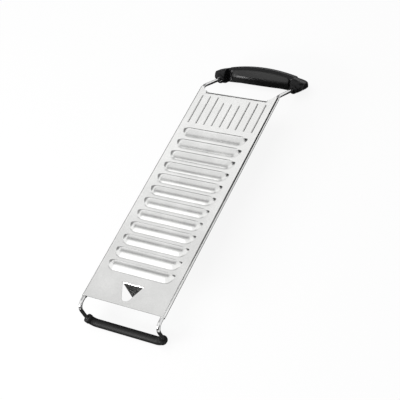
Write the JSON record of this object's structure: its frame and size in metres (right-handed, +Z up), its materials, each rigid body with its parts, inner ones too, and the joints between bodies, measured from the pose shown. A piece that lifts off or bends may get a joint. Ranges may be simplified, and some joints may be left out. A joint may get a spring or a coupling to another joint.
{
  "type": "hand-held potato slicer",
  "caption": "Flat stainless slicing plate with raised cutting louvers, held in a bent wire frame with a rubber-covered foot and a black bow handle.",
  "frame": {"origin": "on the table, under the middle of the whole tool as it lies on its foot and its handle", "axes": "+Z up from the table, +Y along the tool from the foot towards the handle, +X across the plate to the right"},
  "size_m": [0.121, 0.3773, 0.0425],
  "materials": {
    "stainless_sheet": "bright satin stainless sheet",
    "stainless_wire": "polished stainless wire",
    "foot_rubber": "matte black rubber",
    "handle_plastic": "satin black moulded plastic",
    "grip_rubber": "soft black grip rubber"
  },
  "bodies": {
    "root": {"slicing_plate": "stainless_sheet", "wire_frame": "stainless_wire", "foot_sleeve": "foot_rubber", "handle_upper_shell": "handle_plastic", "handle_lower_shell": "handle_plastic", "grip_pad": "grip_rubber"}
  },
  "joints": []
}
